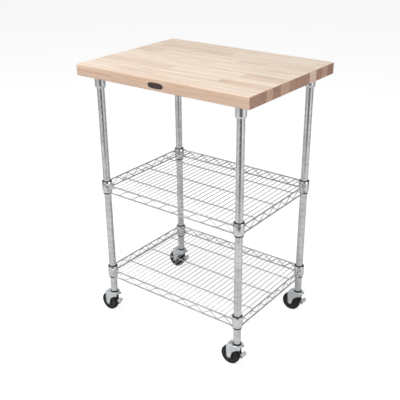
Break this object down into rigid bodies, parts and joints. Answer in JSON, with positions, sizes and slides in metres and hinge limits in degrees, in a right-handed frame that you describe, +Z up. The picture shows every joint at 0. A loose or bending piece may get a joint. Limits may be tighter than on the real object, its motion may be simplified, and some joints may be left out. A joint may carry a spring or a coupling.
{
  "type": "kitchen island cart",
  "caption": "Rolling kitchen island cart: thick butcher-block worktop on grooved chrome posts, two wire shelves and swivel casters with brake pedals.",
  "frame": {"origin": "on the floor under the middle of the worktop", "axes": "+X along the long side of the worktop, +Y towards the back, +Z up"},
  "size_m": [0.6858, 0.51, 0.966],
  "materials": {
    "maple": "oiled hard maple strips glued edge to edge, satin",
    "chrome": "bright chrome plate, lightly brushed by handling",
    "wire": "chrome plated steel wire",
    "zinc": "zinc plated pressed steel",
    "black_steel": "black oxide",
    "black_plastic": "moulded black plastic",
    "tread_rubber": "black rubber, moulded parting line",
    "hub_plastic": "moulded dark plastic",
    "pedal_grey": "moulded light grey plastic"
  },
  "bodies": {
    "cart": {"butcher_block_top": "maple", "socket_front_left": "chrome", "socket_front_right": "chrome", "socket_back_left": "chrome", "socket_back_right": "chrome", "set_screws": "black_steel", "socket_screws": "zinc", "post_front_left": "chrome", "post_front_right": "chrome", "post_back_left": "chrome", "post_back_right": "chrome", "upper_front_rail": "wire", "upper_back_rail": "wire", "upper_left_rail": "wire", "upper_right_rail": "wire", "upper_deck_wires": "wire", "upper_cross_wires": "wire", "upper_collars": "chrome", "upper_sleeves": "black_plastic", "lower_front_rail": "wire", "lower_back_rail": "wire", "lower_left_rail": "wire", "lower_right_rail": "wire", "lower_deck_wires": "wire", "lower_cross_wires": "wire", "lower_collars": "chrome", "lower_sleeves": "black_plastic", "caster_front_left_insert": "black_plastic", "caster_front_right_insert": "black_plastic", "caster_back_left_insert": "black_plastic", "caster_back_right_insert": "black_plastic"},
    "caster_front_left_swivel": {"caster_front_left_swivel_head": "zinc", "caster_front_left_fork": "zinc", "caster_front_left_axle": "zinc"},
    "caster_front_left_wheel": {"caster_front_left_tread": "tread_rubber", "caster_front_left_hub": "hub_plastic"},
    "caster_front_left_pedal": {"caster_front_left_brake_lever": "black_plastic", "caster_front_left_brake_pad": "pedal_grey"},
    "caster_front_right_swivel": {"caster_front_right_swivel_head": "zinc", "caster_front_right_fork": "zinc", "caster_front_right_axle": "zinc"},
    "caster_front_right_wheel": {"caster_front_right_tread": "tread_rubber", "caster_front_right_hub": "hub_plastic"},
    "caster_front_right_pedal": {"caster_front_right_brake_lever": "black_plastic", "caster_front_right_brake_pad": "pedal_grey"},
    "caster_back_left_swivel": {"caster_back_left_swivel_head": "zinc", "caster_back_left_fork": "zinc", "caster_back_left_axle": "zinc"},
    "caster_back_left_wheel": {"caster_back_left_tread": "tread_rubber", "caster_back_left_hub": "hub_plastic"},
    "caster_back_left_pedal": {"caster_back_left_brake_lever": "black_plastic", "caster_back_left_brake_pad": "pedal_grey"},
    "caster_back_right_swivel": {"caster_back_right_swivel_head": "zinc", "caster_back_right_fork": "zinc", "caster_back_right_axle": "zinc"},
    "caster_back_right_wheel": {"caster_back_right_tread": "tread_rubber", "caster_back_right_hub": "hub_plastic"},
    "caster_back_right_pedal": {"caster_back_right_brake_lever": "black_plastic", "caster_back_right_brake_pad": "pedal_grey"}
  },
  "joints": [
    {"name": "front_left_swivel_turn", "type": "hinge", "parent": "cart", "child": "caster_front_left_swivel", "pos_m": [-0.2834, -0.2067, 0.0875], "axis": [0, 0, 1], "continuous": true},
    {"name": "front_left_wheel_spin", "type": "hinge", "parent": "caster_front_left_swivel", "child": "caster_front_left_wheel", "pos_m": [-0.3078, -0.2067, 0.035], "axis": [0, 1, 0], "continuous": true},
    {"name": "front_left_brake_press", "type": "hinge", "parent": "caster_front_left_swivel", "child": "caster_front_left_pedal", "pos_m": [-0.2709, -0.2067, 0.0756], "axis": [0, 1, 0], "range_deg": [0, 12]},
    {"name": "front_right_swivel_turn", "type": "hinge", "parent": "cart", "child": "caster_front_right_swivel", "pos_m": [0.2834, -0.2067, 0.0875], "axis": [0, 0, 1], "continuous": true},
    {"name": "front_right_wheel_spin", "type": "hinge", "parent": "caster_front_right_swivel", "child": "caster_front_right_wheel", "pos_m": [0.259, -0.2067, 0.035], "axis": [0, 1, 0], "continuous": true},
    {"name": "front_right_brake_press", "type": "hinge", "parent": "caster_front_right_swivel", "child": "caster_front_right_pedal", "pos_m": [0.2959, -0.2067, 0.0756], "axis": [0, 1, 0], "range_deg": [0, 12]},
    {"name": "back_left_swivel_turn", "type": "hinge", "parent": "cart", "child": "caster_back_left_swivel", "pos_m": [-0.2834, 0.2067, 0.0875], "axis": [0, 0, 1], "continuous": true},
    {"name": "back_left_wheel_spin", "type": "hinge", "parent": "caster_back_left_swivel", "child": "caster_back_left_wheel", "pos_m": [-0.3078, 0.2067, 0.035], "axis": [0, 1, 0], "continuous": true},
    {"name": "back_left_brake_press", "type": "hinge", "parent": "caster_back_left_swivel", "child": "caster_back_left_pedal", "pos_m": [-0.2709, 0.2067, 0.0756], "axis": [0, 1, 0], "range_deg": [0, 12]},
    {"name": "back_right_swivel_turn", "type": "hinge", "parent": "cart", "child": "caster_back_right_swivel", "pos_m": [0.2834, 0.2067, 0.0875], "axis": [0, 0, 1], "continuous": true},
    {"name": "back_right_wheel_spin", "type": "hinge", "parent": "caster_back_right_swivel", "child": "caster_back_right_wheel", "pos_m": [0.259, 0.2067, 0.035], "axis": [0, 1, 0], "continuous": true},
    {"name": "back_right_brake_press", "type": "hinge", "parent": "caster_back_right_swivel", "child": "caster_back_right_pedal", "pos_m": [0.2959, 0.2067, 0.0756], "axis": [0, 1, 0], "range_deg": [0, 12]}
  ]
}
